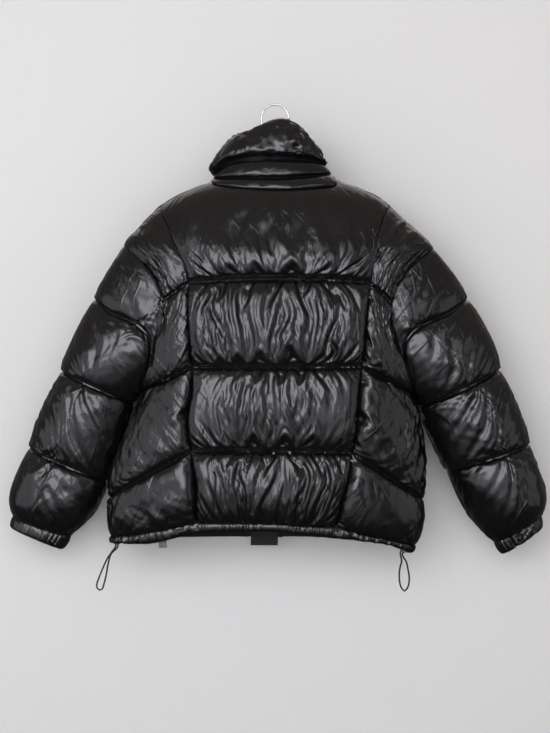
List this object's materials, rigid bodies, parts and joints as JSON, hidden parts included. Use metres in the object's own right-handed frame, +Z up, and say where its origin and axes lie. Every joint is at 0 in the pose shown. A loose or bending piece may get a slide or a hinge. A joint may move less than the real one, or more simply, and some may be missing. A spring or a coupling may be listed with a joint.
{
  "type": "puffer jacket on a clothes hanger",
  "caption": "Black glossy puffer jacket with a stand collar, zipped shut and hanging on a hook hanger, with hem cord loops and a swinging zip pull.",
  "frame": {"origin": "the top of the inside of the hanger's hook, where it rests on a rail or peg", "axes": "+Z up, +X towards the right sleeve in a view of the back, +Y out of the jacket's front where the zip is"},
  "size_m": [0.9138, 0.189, 0.826],
  "materials": {
    "glossy_black_nylon": "glossy",
    "matte_black_tape": "matte",
    "chromed_wire": "polished",
    "dark_metal": "satin",
    "clear_grey_plastic": "glossy",
    "woven_label": "matte"
  },
  "bodies": {
    "jacket": {"back_center": "glossy_black_nylon", "back_side_left": "glossy_black_nylon", "back_side_right": "glossy_black_nylon", "front_left": "glossy_black_nylon", "front_right": "glossy_black_nylon", "hem_back": "glossy_black_nylon", "hem_front_left": "glossy_black_nylon", "hem_front_right": "glossy_black_nylon", "sleeve_left": "glossy_black_nylon", "sleeve_right": "glossy_black_nylon", "cuff_left": "glossy_black_nylon", "cuff_right": "glossy_black_nylon", "collar": "glossy_black_nylon", "zip_tape_left": "matte_black_tape", "zip_tape_right": "matte_black_tape", "zip_guard": "matte_black_tape", "hanger_body": "clear_grey_plastic", "hanger_hook": "chromed_wire", "zip_slider": "dark_metal", "hem_eyelet_left": "dark_metal", "hem_eyelet_right": "dark_metal", "cord_left": "matte_black_tape", "cord_right": "matte_black_tape", "care_label": "woven_label"},
    "pull": {"zip_pull": "dark_metal"}
  },
  "joints": [
    {"name": "zip_pull_hinge", "type": "hinge", "parent": "jacket", "child": "pull", "pos_m": [-0.00038, 0.05476, -0.11649], "axis": [1, 0, 0], "range_deg": [0, 150]}
  ]
}
